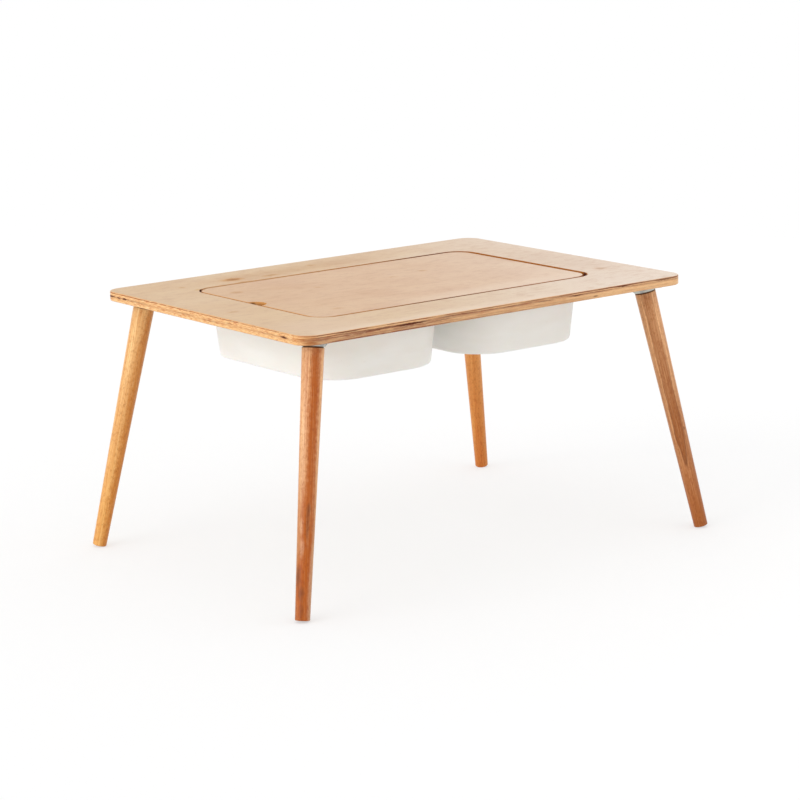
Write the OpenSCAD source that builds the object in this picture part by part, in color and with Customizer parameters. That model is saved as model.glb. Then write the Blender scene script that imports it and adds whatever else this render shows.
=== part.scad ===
// Low play table for children. The plywood top has a flush lift-off lid over two openings,
// and under each opening a moulded tub hangs by its rim between two wooden runners and slides
// out at its own end. Four turned legs lean out towards the corners on angled steel plates.
//
// Millimetres. +X runs along the long side, -Y is the front, and the floor is Z = 0.

/* [Table top] */
// Length of the table top
top_w = 800; // [780:2:840]
// Depth of the table top, front to back
top_d = 588; // [580:2:640]
// Height of the table top above the floor
top_h = 448; // [400:1:560]
// Thickness of the plywood top
top_t = 16; // [15:0.5:21]
// Radius of the top's corners in plan
top_corner_r = 30; // [20:1:60]
// Radius of the eased edges of the top
edge_ease = 1.5; // [0.5:0.25:2.5]

/* [Lid] */
// Length of the lift-off lid
lid_w = 574; // [570:1:590]
// Depth of the lid, front to back
lid_d = 361; // [358:1:372]
// Thickness of the lid
lid_t = 9; // [6:0.5:9]
// Gap between the lid and the top, all round
lid_gap = 6.5; // [3.5:0.5:7]
// How far the closed lid lies off the middle of its recess, towards the left
lid_shift = 3; // [0:0.25:3]
// How far the lid's face lies below the face of the top
lid_drop = 0.25; // [0:0.25:1.5]
// Radius of the eased edges of the lid and of its recess
lid_ease = 0.5; // [0.25:0.25:1.5]
// Radius of the lid's corners in plan
lid_corner_r = 33; // [20:1:45]
// Width of the ledge that the lid rests on
ledge_w = 8; // [5:0.5:9]
// Length of the finger notch along the lid's left edge
notch_w = 42; // [40:1:80]
// Depth of the finger notch into the lid
notch_d = 20; // [8:0.5:20]

/* [Tubs] */
// Width of a tub's base, along the table
tub_base_w = 250; // [230:1:252]
// Length of a tub's base, front to back
tub_base_l = 356; // [330:1:358]
// Height of a tub from its base to its rim
tub_h = 91.5; // [70:0.5:130]
// Corner radius of a tub's base in plan
tub_corner_r = 73; // [50:1:90]
// Outward lean of a tub's walls, in degrees
tub_draft = 6.7; // [3:0.1:7]
// Wall thickness of a tub
tub_wall = 2.2; // [1.8:0.1:3]
// Width of the rim's flange
rim_w = 12; // [10:0.5:13]
// Distance between the middles of the two tubs
tub_pitch = 304; // [302:1:310]

/* [Runners] */
// Width of the ledge that a tub's rim slides on
runner_ledge_w = 10; // [8:0.5:10]
// Thickness of that ledge
runner_ledge_t = 7; // [6:0.5:8]
// Thickness of the runner's upright part
runner_web = 14; // [12:0.5:14]
// Length of a runner
runner_l = 610; // [560:5:614]

/* [Legs] */
// Diameter of a leg at its top
leg_top_dia = 36; // [30:0.5:38]
// Diameter of a leg at its foot
leg_foot_dia = 24; // [20:0.5:30]
// Lean of the legs from upright, in degrees
leg_tilt = 12.9; // [8:0.1:15]
// Distance from the middle of the table to a leg's axis at the underside, along X
leg_x = 347; // [345:1:356]
// The same distance along Y
leg_y = 245; // [240:1:248]
// Depth of the angled seat below the underside, along the leg's axis
seat_depth = 12.5; // [11:0.5:15]

/* [Hidden] */
$fn = 96;

// Colours as the piece looks in daylight
ply_colour = [0.87, 0.76, 0.63];
lid_colour = [0.86, 0.74, 0.62];
tub_colour = [0.94, 0.94, 0.92];
leg_colour = [0.76, 0.50, 0.30];
runner_colour = [0.82, 0.66, 0.48];
steel_colour = [0.72, 0.73, 0.74];

// Heights
underside = top_h - top_t;
lid_underside = top_h - lid_drop - lid_t;
rim_clearance = 3;
tub_rim_z = underside - rim_clearance;
tub_base_z = tub_rim_z - tub_h;

// The lid's recess and the two openings below it
recess_w = lid_w + 2 * lid_gap;
recess_d = lid_d + 2 * lid_gap;
recess_corner_r = lid_corner_r + lid_gap;
opening_outer_x = lid_w / 2 - ledge_w;
opening_w = 2 * (opening_outer_x - tub_pitch / 2);
opening_l = lid_d - 2 * ledge_w;
opening_corner_r = 70;

// The tub's wall, measured out from the centres of its plan corners
draft = tan(tub_draft);
wall_across = tub_wall / cos(tub_draft);
tub_core_w = tub_base_w - 2 * tub_corner_r;
tub_core_l = tub_base_l - 2 * tub_corner_r;
floor_t = 2.4;
foot_ring_h = 1;
foot_ring_w = 14;
outer_fillet = 5;
inner_fillet = 7;
lip_round = 2;
skirt_h = 6;
skirt_t = 2;
flange_edge_r = tub_corner_r + draft * tub_h + rim_w;
rim_half_l = tub_core_l / 2 + flange_edge_r;

// The runners stand just outside the flanges
runner_gap = 2.5;
runner_top_y = rim_half_l + runner_gap;
runner_h = rim_clearance + skirt_h + runner_ledge_t;
runner_screw_pitch = 140;
runner_ease = 1;
lead_in_l = 14;
lead_in_angle = 16;

// Fasteners
screw_dia = 4;
screw_head_dia = 8;
screw_head_h = 2;
screw_tip_l = 3;
screw_tip_dia = 1;
screw_slot_l = 4.2;
screw_slot_w = 0.9;
screw_slot_depth = 1.4;
plate_screw_l = 14;
runner_screw_l = 28;
pilot_extra = 0.5;
screw_play = 0.2;
bolt_dia = 8;
bolt_hole_play = 0.1;
bolt_in_leg = 30;
bolt_hole_spare = 2;
seat_hole_play = 0.5;
bolt_tip_l = 4;
bolt_tip_dia = 3;
nut_across_flats = 13;
nut_h = 6.5;

// Angled plates: a flat flange, and a hollow seat that tapers down to the leg's top
plate_size = 66;
plate_corner_r = 7;
plate_t = 2;
plate_shift = -4;
plate_hole_spacing = 49;
seat_r = leg_top_dia / 2 + 1;
seat_flare = 0.6;
seat_flare_l = 24;
seat_slope = sqrt(1 + seat_flare * seat_flare);
seat_bend_r = 3;

// Legs: the foot's edge just meets the floor on the leg's inner side
leg_top_chamfer = 2;
foot_round = 1.5;
foot_reach = (underside - foot_round - (leg_foot_dia / 2 - foot_round) * sin(leg_tilt)) / cos(leg_tilt);
leg_l = foot_reach + foot_round - seat_depth;
lean_towards = atan2(top_d, top_w);

// ---- Shared shapes ----

// Points along an arc, for the round stretches of an outline
function arc_points(cx, cy, r, from, to, steps = 5) =
    [for (i = [0:steps]) let (a = from + (to - from) * i / steps) [cx + r * cos(a), cy + r * sin(a)]];

// Sweeps a profile round a rounded rectangle: four straight runs and four quarter turns.
// X of the profile is the distance out from the corners' centres, and Y becomes the height.
module sweep_round_rect(core_w, core_d) {
    for (side = [0:3]) {
        across = side % 2 == 0 ? core_w : core_d;
        run = side % 2 == 0 ? core_d : core_w;
        rotate(90 * side)
            translate([across / 2, run / 2, 0]) {
                rotate_extrude(angle = 90) children();
                rotate([90, 0, 0]) linear_extrude(run) children();
            }
    }
}

// A board with round corners and eased edges, its lower face at Z = 0
module eased_board(w, d, t, corner_r, ease) {
    core_w = w - 2 * corner_r;
    core_d = d - 2 * corner_r;
    sweep_round_rect(core_w, core_d)
        polygon(concat([[0, 0]],
            arc_points(corner_r - ease, ease, ease, -90, 0),
            arc_points(corner_r - ease, t - ease, ease, 0, 90),
            [[0, t]]));
    translate([-core_w / 2, -core_d / 2, 0])
        cube([core_w, core_d, t]);
}

// The cutter for a recess whose upper edge is eased, its floor at Z = 0
module eased_recess(w, d, depth, corner_r, ease) {
    core_w = w - 2 * corner_r;
    core_d = d - 2 * corner_r;
    sweep_round_rect(core_w, core_d)
        polygon(concat([[0, 0], [corner_r, 0]],
            arc_points(corner_r + ease, depth - ease, ease, 180, 90),
            [[corner_r + ease, depth + 1], [0, depth + 1]]));
    translate([-core_w / 2, -core_d / 2, 0])
        cube([core_w, core_d, depth + 1]);
}

// A rounded rectangle in plan
module round_rect(w, d, r) {
    square([w - 2 * r, d], center = true);
    square([w, d - 2 * r], center = true);
    for (x = [-1, 1], y = [-1, 1])
        translate([x * (w / 2 - r), y * (d / 2 - r)])
            circle(r);
}

// A countersunk wood screw that is driven upwards; its head's face is at Z = 0
module wood_screw(l) {
    difference() {
        union() {
            cylinder(h = screw_head_h, d1 = screw_head_dia, d2 = screw_dia);
            cylinder(h = l - screw_tip_l, d = screw_dia);
            translate([0, 0, l - screw_tip_l])
                cylinder(h = screw_tip_l, d1 = screw_dia, d2 = screw_tip_dia);
        }
        for (turn = [0, 90])
            rotate(turn)
                translate([-screw_slot_l / 2, -screw_slot_w / 2, -1])
                    cube([screw_slot_l, screw_slot_w, screw_slot_depth + 1]);
    }
}

// The hole for such a screw in the piece that it holds down
module screw_seat(t) {
    cylinder(h = screw_head_h, d1 = screw_head_dia + screw_play, d2 = screw_dia + screw_play);
    cylinder(h = t + 1, d = screw_dia + screw_play);
}

// The pilot hole for such a screw in the top, from the underside
module pilot_hole(depth) {
    translate([0, 0, underside - 1])
        cylinder(h = depth + 1 + pilot_extra, d = screw_dia + screw_play);
}

// ---- Places ----

// A leg's own frame: the origin is where its axis meets the underside, and +X leans outwards
module at_corner(x_side, y_side) {
    translate([x_side * leg_x, y_side * leg_y, underside])
        rotate(atan2(y_side * sin(lean_towards), x_side * cos(lean_towards)))
            children();
}

// In that frame, turns -Z onto the leg's axis
module along_leg() {
    rotate([0, -leg_tilt, 0])
        children();
}

module plate_screw_places() {
    for (x = [-1, 1], y = [-1, 1])
        translate([plate_shift + x * plate_hole_spacing / 2, y * plate_hole_spacing / 2, 0])
            children();
}

module runner_screw_places() {
    for (i = [-2:2])
        translate([i * runner_screw_pitch, runner_top_y + runner_web / 2, 0])
            children();
}

// ---- Table top and lid ----

module table_top() {
    color(ply_colour)
        difference() {
            translate([0, 0, underside])
                eased_board(top_w, top_d, top_t, top_corner_r, edge_ease);
            translate([0, 0, lid_underside])
                eased_recess(recess_w, recess_d, top_h - lid_underside, recess_corner_r, lid_ease);
            for (side = [-1, 1]) {
                translate([side * tub_pitch / 2, 0, underside - 1])
                    linear_extrude(top_t)
                        round_rect(opening_w, opening_l, opening_corner_r);
                rotate(side == 1 ? 0 : 180)
                    runner_screw_places()
                        pilot_hole(runner_screw_l - runner_h);
            }
            for (x = [-1, 1], y = [-1, 1])
                at_corner(x, y)
                    plate_screw_places()
                        translate([0, 0, -underside])
                            pilot_hole(plate_screw_l - plate_t);
        }
}

// Half-moon finger notch at the middle of the lid's left edge
module finger_notch() {
    notch_r = (notch_w * notch_w / 4 + notch_d * notch_d) / (2 * notch_d);
    translate([-lid_w / 2 + notch_d - notch_r, 0, -1])
        cylinder(h = lid_t + 2, r = notch_r);
}

module lid() {
    color(lid_colour)
        translate([-lid_shift, 0, lid_underside])
            difference() {
                eased_board(lid_w, lid_d, lid_t, lid_corner_r, lid_ease);
                finger_notch();
            }
}

// ---- Tubs ----

// Section through a tub's floor, wall and turned-down rim
module tub_section() {
    outer_x = tub_corner_r;
    slope = 1 / cos(tub_draft);
    outer_cx = outer_x + draft * outer_fillet - outer_fillet * slope;
    inner_x = outer_x - wall_across;
    floor_top = foot_ring_h + floor_t;
    inner_cz = floor_top + inner_fillet;
    inner_cx = inner_x + draft * inner_cz - inner_fillet * slope;
    flange_under = tub_h - tub_wall;
    lip_in = inner_x + draft * tub_h;
    polygon(concat(
        [[0, foot_ring_h], [outer_x - foot_ring_w - foot_ring_h, foot_ring_h], [outer_x - foot_ring_w, 0]],
        arc_points(outer_cx, outer_fillet, outer_fillet, -90, -tub_draft),
        [[outer_x + draft * flange_under, flange_under],
         [flange_edge_r - skirt_t, flange_under],
         [flange_edge_r - skirt_t, tub_h - skirt_h],
         [flange_edge_r, tub_h - skirt_h]],
        arc_points(flange_edge_r - lip_round, tub_h - lip_round, lip_round, 0, 90, 4),
        arc_points(lip_in + lip_round, tub_h - lip_round, lip_round, 90, 180 - tub_draft, 4),
        arc_points(inner_cx, inner_cz, inner_fillet, -tub_draft, -90),
        [[0, floor_top]]));
}

module tub() {
    color(tub_colour)
        translate([0, 0, tub_base_z]) {
            sweep_round_rect(tub_core_w, tub_core_l)
                tub_section();
            translate([-tub_core_w / 2, -tub_core_l / 2, foot_ring_h])
                cube([tub_core_w, tub_core_l, floor_t]);
        }
}

module left_tub() {
    translate([-tub_pitch / 2, 0, 0])
        tub();
}

module right_tub() {
    translate([tub_pitch / 2, 0, 0])
        tub();
}

// ---- Runners ----

// Section of the back runner's upright, which is screwed to the underside
module runner_upright() {
    translate([runner_top_y, 0])
        polygon([[0, 0], [runner_web - runner_ease, 0], [runner_web, runner_ease],
                 [runner_web, runner_h], [0, runner_h]]);
}

// Section of its ledge, which reaches under the tub's rim from inside the upright
module runner_ledge() {
    reach = runner_ledge_w;
    root = runner_web / 4;
    translate([runner_top_y, 0])
        polygon([[root, 0], [root, runner_ledge_t], [runner_ease - reach, runner_ledge_t],
                 [-reach, runner_ledge_t - runner_ease], [-reach, runner_ease], [runner_ease - reach, 0]]);
}

// Side view of the ledge: it slopes down at each end, so that a tub's rim finds its way on
module ledge_slopes() {
    rise = tan(lead_in_angle);
    end_z = runner_ledge_t - rise * (lead_in_l + 1);
    polygon([[-1, -1], [runner_l + 1, -1], [runner_l + 1, end_z],
             [runner_l / 2, end_z + rise * (runner_l / 2 + 1)], [-1, end_z]]);
}

module runner() {
    color(runner_colour)
        difference() {
            translate([-runner_l / 2, 0, underside - runner_h]) {
                rotate([90, 0, 90])
                    linear_extrude(runner_l)
                        runner_upright();
                intersection() {
                    rotate([90, 0, 90])
                        linear_extrude(runner_l)
                            runner_ledge();
                    translate([0, runner_top_y + runner_web, 0])
                        rotate([90, 0, 0])
                            linear_extrude(2 * runner_web + runner_ledge_w)
                                ledge_slopes();
                }
            }
            runner_screw_places()
                translate([0, 0, underside - runner_h])
                    screw_seat(runner_h);
        }
}

module runner_screws() {
    color(steel_colour)
        runner_screw_places()
            translate([0, 0, underside - runner_h])
                wood_screw(runner_screw_l);
}

module back_runner() {
    runner();
}

module front_runner() {
    rotate(180)
        runner();
}

module back_runner_screws() {
    runner_screws();
}

module front_runner_screws() {
    rotate(180)
        runner_screws();
}

// ---- Legs ----

// A turned leg: straight taper, chamfered top, round foot edge, and a hole for the bolt
module leg() {
    top_r = leg_top_dia / 2;
    foot_r = leg_foot_dia / 2;
    taper = atan((top_r - foot_r) / leg_l);
    color(leg_colour)
        along_leg()
            translate([0, 0, -seat_depth])
                difference() {
                    rotate_extrude()
                        polygon(concat(
                            [[0, -leg_l]],
                            arc_points(foot_r - foot_round, foot_round - leg_l, foot_round, -90, -taper),
                            [[top_r, -leg_top_chamfer], [top_r - leg_top_chamfer, 0], [0, 0]]));
                    translate([0, 0, -bolt_in_leg - bolt_hole_spare])
                        cylinder(h = bolt_in_leg + bolt_hole_spare + 1, d = bolt_dia + bolt_hole_play);
                }
}

// Half section of the seat's body: its outside for an inset of 0, its hollow for one of the
// sheet's thickness. The sheet bends round at the seat's foot and flares up to the flange.
module seat_section(inset) {
    top = seat_flare_l + inset;
    bend_cx = seat_r + seat_flare * seat_bend_r - seat_slope * seat_bend_r;
    polygon(concat([[0, inset]],
        arc_points(bend_cx, seat_bend_r, seat_bend_r - inset, -90, -atan(seat_flare)),
        [[seat_r + seat_flare * top - seat_slope * inset, top], [0, top]]));
}

// A pressed steel plate: flat flange under the top, and a hollow seat square to the leg
module leg_plate() {
    color(steel_colour)
        difference() {
            union() {
                translate([plate_shift, 0, -plate_t])
                    linear_extrude(plate_t)
                        round_rect(plate_size, plate_size, plate_corner_r);
                along_leg()
                    translate([0, 0, -seat_depth])
                        rotate_extrude()
                            seat_section(0);
            }
            translate([-plate_size, -plate_size, 0])
                cube([2 * plate_size, 2 * plate_size, 2 * seat_flare_l]);
            along_leg()
                translate([0, 0, -seat_depth])
                    rotate_extrude()
                        seat_section(plate_t);
            along_leg()
                translate([0, 0, -seat_depth - 1])
                    cylinder(h = plate_t + 2, d = bolt_dia + seat_hole_play);
            plate_screw_places()
                translate([0, 0, -plate_t])
                    screw_seat(plate_t);
        }
}

// The nut that is welded inside the plate's seat
module leg_nut() {
    color(steel_colour)
        along_leg()
            translate([0, 0, plate_t - seat_depth])
                difference() {
                    cylinder(h = nut_h, d = nut_across_flats / cos(30), $fn = 6);
                    translate([0, 0, -1])
                        cylinder(h = nut_h + 2, d = bolt_dia + bolt_hole_play);
                }
}

// The double-ended bolt between the nut and the leg
module hanger_bolt() {
    color(steel_colour)
        along_leg()
            translate([0, 0, -seat_depth - bolt_in_leg])
                union() {
                    cylinder(h = bolt_tip_l, d1 = bolt_tip_dia, d2 = bolt_dia);
                    translate([0, 0, bolt_tip_l])
                        cylinder(h = bolt_in_leg - bolt_tip_l + plate_t + nut_h, d = bolt_dia);
                }
}

module plate_screws() {
    color(steel_colour)
        plate_screw_places()
            translate([0, 0, -plate_t])
                wood_screw(plate_screw_l);
}

module front_left_leg() { at_corner(-1, -1) leg(); }
module front_right_leg() { at_corner(1, -1) leg(); }
module back_left_leg() { at_corner(-1, 1) leg(); }
module back_right_leg() { at_corner(1, 1) leg(); }

module front_left_leg_plate() { at_corner(-1, -1) leg_plate(); }
module front_right_leg_plate() { at_corner(1, -1) leg_plate(); }
module back_left_leg_plate() { at_corner(-1, 1) leg_plate(); }
module back_right_leg_plate() { at_corner(1, 1) leg_plate(); }

module front_left_leg_nut() { at_corner(-1, -1) leg_nut(); }
module front_right_leg_nut() { at_corner(1, -1) leg_nut(); }
module back_left_leg_nut() { at_corner(-1, 1) leg_nut(); }
module back_right_leg_nut() { at_corner(1, 1) leg_nut(); }

module front_left_hanger_bolt() { at_corner(-1, -1) hanger_bolt(); }
module front_right_hanger_bolt() { at_corner(1, -1) hanger_bolt(); }
module back_left_hanger_bolt() { at_corner(-1, 1) hanger_bolt(); }
module back_right_hanger_bolt() { at_corner(1, 1) hanger_bolt(); }

module front_left_plate_screws() { at_corner(-1, -1) plate_screws(); }
module front_right_plate_screws() { at_corner(1, -1) plate_screws(); }
module back_left_plate_screws() { at_corner(-1, 1) plate_screws(); }
module back_right_plate_screws() { at_corner(1, 1) plate_screws(); }

table_top();
lid();
left_tub();
right_tub();
front_runner();
back_runner();
front_runner_screws();
back_runner_screws();
front_left_leg();
front_right_leg();
back_left_leg();
back_right_leg();
front_left_leg_plate();
front_right_leg_plate();
back_left_leg_plate();
back_right_leg_plate();
front_left_leg_nut();
front_right_leg_nut();
back_left_leg_nut();
back_right_leg_nut();
front_left_hanger_bolt();
front_right_hanger_bolt();
back_left_hanger_bolt();
back_right_hanger_bolt();
front_left_plate_screws();
front_right_plate_screws();
back_left_plate_screws();
back_right_plate_screws();
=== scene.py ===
import math

import bpy
from mathutils import Matrix, Vector


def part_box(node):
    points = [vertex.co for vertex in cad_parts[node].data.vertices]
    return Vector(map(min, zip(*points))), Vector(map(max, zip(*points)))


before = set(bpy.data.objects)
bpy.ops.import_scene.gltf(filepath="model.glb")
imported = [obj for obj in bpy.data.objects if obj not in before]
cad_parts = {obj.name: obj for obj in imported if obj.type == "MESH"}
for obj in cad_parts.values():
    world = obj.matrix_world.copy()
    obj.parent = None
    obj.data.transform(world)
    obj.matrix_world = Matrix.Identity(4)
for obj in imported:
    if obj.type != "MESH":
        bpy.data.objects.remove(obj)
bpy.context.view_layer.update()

MM = 0.001


def srgb(red, green, blue):
    """A colour as it looks on a screen, from 0 to 255, in the linear values that shaders take."""
    def linear(c):
        return c / 12.92 if c <= 0.04045 else ((c + 0.055) / 1.055) ** 2.4
    return tuple(linear(c / 255) for c in (red, green, blue)) + (1.0,)


# ---- Camera, light and floor ----

# The viewpoint, worked out from the edges of the top and the feet
CAMERA_PLACE = Vector((-2.7950, -3.7007, 1.2539))
CAMERA_YAW = math.radians(-37.109)
CAMERA_PITCH = math.radians(12.306)
CAMERA_ROLL = math.radians(1.414)
CAMERA_LENS = 124.19

# A pale room, a soft lamp low on the left, and white panels on the right, behind and in front
FILL_STRENGTH = 0.95
KEY_STRENGTH = 1.15
KEY_SPREAD = math.radians(50)
KEY_HEIGHT = math.radians(16)
KEY_SIDE = math.radians(178)
PANELS = {
    "back_panel": {"place": Vector((2.7, 1.6, 1.0)), "width": 2.2, "height": 1.4, "brightness": 0.35},
    "front_panel": {"place": Vector((1.5, -2.0, 0.7)), "width": 1.2, "height": 1.2, "brightness": 0.75}}
PANEL_AIM = Vector((0, 0, 0.4))

# How pale the floor is for the light that it bounces, and for the eye under its own glow
FLOOR_ALBEDO = 0.8
FLOOR_SHADE = 0.45
FLOOR_REACH = 60


# ---- Plywood ----

FACE_PLY_T = 0.8 * MM
TOP_PLY_T = 1.6 * MM
LID_PLY_T = 1.48 * MM

# How dark each ply shows, from the face down, in parts of the long edges and on the short ones
TOP_STAINS = {
    "left part": [0.1, 1.1, 0.05, 0.8, 0.65, 0.8, 0.75, 0.6, 0.45, 0.9, 0.8],
    "middle": [0.1, 0.6, 0.45, 0.75, 0.5, 0.4, 0.25, 0.45, 0.35, 0.6, 0.5],
    "right part": [0.45, 1.2, 0.3, 0.8, 0.25, 0.05, 0.1, 0.25, 0.15, 0.2, 0.2],
    "ends": [0.2, 0.8, 0.0, 0.1, 0.2, 0.35, 0.3, 0.1, 0.0, 0.0, 0.0]}
LID_STAINS = dict.fromkeys(TOP_STAINS, [0.1, 0.9, 0.3, 0.9, 0.3, 0.8, 0.1])

# The face veneer
# A painted sheen that pales the face towards the right
PALE_VENEER = srgb(221, 203, 186)
GOLDEN_VENEER = srgb(212, 174, 124)
VENEER_FLECK = srgb(164, 102, 50)
PALE_PATCH = srgb(236, 214, 190)
KNOT_HALO = srgb(192, 116, 6)
KNOT_CORE = srgb(122, 66, 0)
SINGED_RIM = srgb(214, 146, 10)

# The cut edges: their light and their dark wood, and the end grain that mottles them
LONG_EDGE_WOOD = [srgb(243, 192, 134), srgb(138, 73, 35)]
SHORT_EDGE_WOOD = [srgb(248, 196, 130), srgb(164, 88, 0)]
BROWN_DASH = srgb(190, 90, 6)
PALE_DASH = srgb(255, 222, 172)
# Painted shade for gaps in the core and round the lid
CORE_GAP = srgb(84, 26, 0)
CORNER_SCORCH = srgb(206, 164, 118)
NOTCH_WOOD = srgb(232, 176, 104)

# Round the lid: the long walls from the back left to the front right, and the end walls from left to right,
# singed by the cutter and darkened further with painted shade of the narrow gap, darker towards the right;
# and the ledge, with its light, its dark and its streaky wood
LONG_WALL = [(-0.3, srgb(214, 168, 120)), (-0.08, srgb(196, 134, 74)),
             (0.08, srgb(132, 68, 12)), (0.3, srgb(164, 92, 24))]
END_WALL = [(-0.2, srgb(186, 106, 2)), (0.2, srgb(172, 104, 12))]
LEDGE_WOOD = [srgb(226, 186, 138), srgb(206, 158, 108), srgb(170, 118, 74)]

# A box, in metres from the middle, that holds the lid's recess and leaves out the outer edges
RECESS_HALF_L = 0.3
RECESS_HALF_D = 0.2

# Marks in the edges, in millimetres; the gaps among them get painted shade, for holes in the core and for
# the narrow gap round the lid. Along the front and the left edge each has its place, its depth below the
# face, its half length, its half height and its strength. The others have their places along X and Y, their
# depth, their reach along X, Y and Z, and their strength.
MARK_REACH = 9
FRONT_GAPS = [
    (-190, 6.4, 32, 1.6, 1.0), (-228, 6.6, 50, 1.2, 0.6), (-326, 2.7, 14, 1.0, 0.6),
    (-305, 2.8, 12, 0.9, 0.6), (155, 5.4, 12, 1.2, 0.8), (256, 2.8, 14, 1.0, 0.9),
    (196, 11.6, 5, 1.4, 0.6), (350, 2.6, 22, 0.9, 0.7), (-270, 6.2, 26, 0.9, 0.5),
    (-130, 8.4, 26, 0.8, 0.5), (-102, 4.2, 40, 0.8, 0.6), (-46, 2.0, 34, 0.7, 0.45),
    (4, 5.2, 30, 0.8, 0.35), (62, 2.0, 34, 0.7, 0.4), (86, 6.0, 20, 0.8, 0.5),
    (122, 3.2, 26, 0.7, 0.4), (235, 2.0, 60, 0.8, 0.5), (335, 1.4, 60, 0.7, 0.5)]
LEFT_GAPS = [
    (-240, 7.4, 9, 1.7, 1.0), (-205, 7.6, 26, 1.0, 0.25), (-88, 6.0, 9, 0.9, 0.4),
    (-32, 9.4, 28, 0.9, 0.3), (38, 7.2, 26, 0.9, 0.3), (205, 7.4, 60, 1.3, 0.3),
    (226, 7.2, 6, 1.7, 1.0), (245, 7.4, 6, 1.5, 0.8), (272, 7.4, 16, 1.5, 1.0)]
BACK_CORNER_GAP = (-400, 282, 8.0, (20, 9, 1.5), 1.0)
# Painted shadow in two corners of the gap round the lid, and on the lower part of the finger notch's wall
RECESS_GAPS = [(-281, 177, 2.0, (8, 8, 7), 1.0), (293, -157, 4.8, (6, 6, 5), 1.0)]
NOTCH_GAPS = [(-281, 19, 4.2, (6, 4, 2.6), 0.8), (-273, 8, 5.5, (7, 14, 2.6), 0.3)]
CORNER_SCORCHES = [
    (-387, -289, 8.0, (16, 9, 12), 0.5), (-384, -291, 12.5, (12, 8, 2.0), 0.5),
    (-396, -277, 6.0, (6, 14, 1.2), 0.8)]
NOTCH_PLACE = (-278, 0)
NOTCH_REACH = (14, 24, 20)

# The two sheets. The veneer's colours are light, dark and blotch. Each knot and each pale patch has
# its place along X and Y, its half length, its half width and its strength, in millimetres.
SHEETS = {
    "table_top": {
        "material": "top_plywood", "seed": 1.0, "ply_t": TOP_PLY_T, "stains": TOP_STAINS,
        "veneer": [srgb(214, 183, 141), srgb(205, 167, 123), srgb(184, 138, 96)],
        # How much a painted sheen pales the face towards the right, and how singed its left rim is
        "painted_sheen": 0.82, "rim_scorch": 0.4,
        "knots": [(-110, 218, 130, 42, 0.1), (20, 240, 220, 36, 0.11), (-184, 221, 20, 12, 0.65),
                  (-112, 210, 16, 8, 0.35), (-183, 188, 16, 5, 0.45), (337, -145, 12, 12, 0.3),
                  (345, -20, 70, 160, 0.09), (-357, -36, 10, 6, 0.2), (0, 246, 9, 8, 0.25),
                  (-290, 217, 6, 6, 0.2)],
        "pale_patches": [(-320, -240, 80, 60, 0.2), (-90, -296, 300, 30, 0.4)],
        "scorches": CORNER_SCORCHES, "front_gaps": FRONT_GAPS, "left_gaps": LEFT_GAPS,
        "gaps": [BACK_CORNER_GAP] + RECESS_GAPS},
    "lid": {
        "material": "lid_plywood", "seed": 4.0, "ply_t": LID_PLY_T, "stains": LID_STAINS,
        "veneer": [srgb(213, 174, 133), srgb(205, 161, 119), srgb(184, 136, 95)],
        "painted_sheen": 0.42, "rim_scorch": 0.8,
        "knots": [(-250, 112, 11, 9, 0.25), (105, 59, 8, 7, 0.25), (30, 45, 10, 6, 0.15),
                  (-122, 55, 6, 8, 0.15), (-215, -130, 12, 7, 0.15), (-240, 80, 90, 80, 0.06),
                  (280, 60, 16, 90, 0.06)],
        "pale_patches": [(130, -165, 220, 30, 0.3)],
        "scorches": [], "front_gaps": [], "left_gaps": [], "gaps": RECESS_GAPS + NOTCH_GAPS}}


# ---- Legs ----

LEG_TILT = math.radians(12.9)
LEG_TOP_RADIUS = 18 * MM
LEG_MARK_RADIUS = 15 * MM
BROWN_MARK = srgb(104, 52, 18)
# Painted highlight on the legs
PALE_MARK = srgb(252, 218, 182)
LEG_RIPPLE = srgb(226, 204, 180)
LEG_FLECK = srgb(146, 78, 34)
# Painted shade for the dark line under the plate at each leg's top
SCORCHED_RIM = srgb(84, 48, 24)

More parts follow.
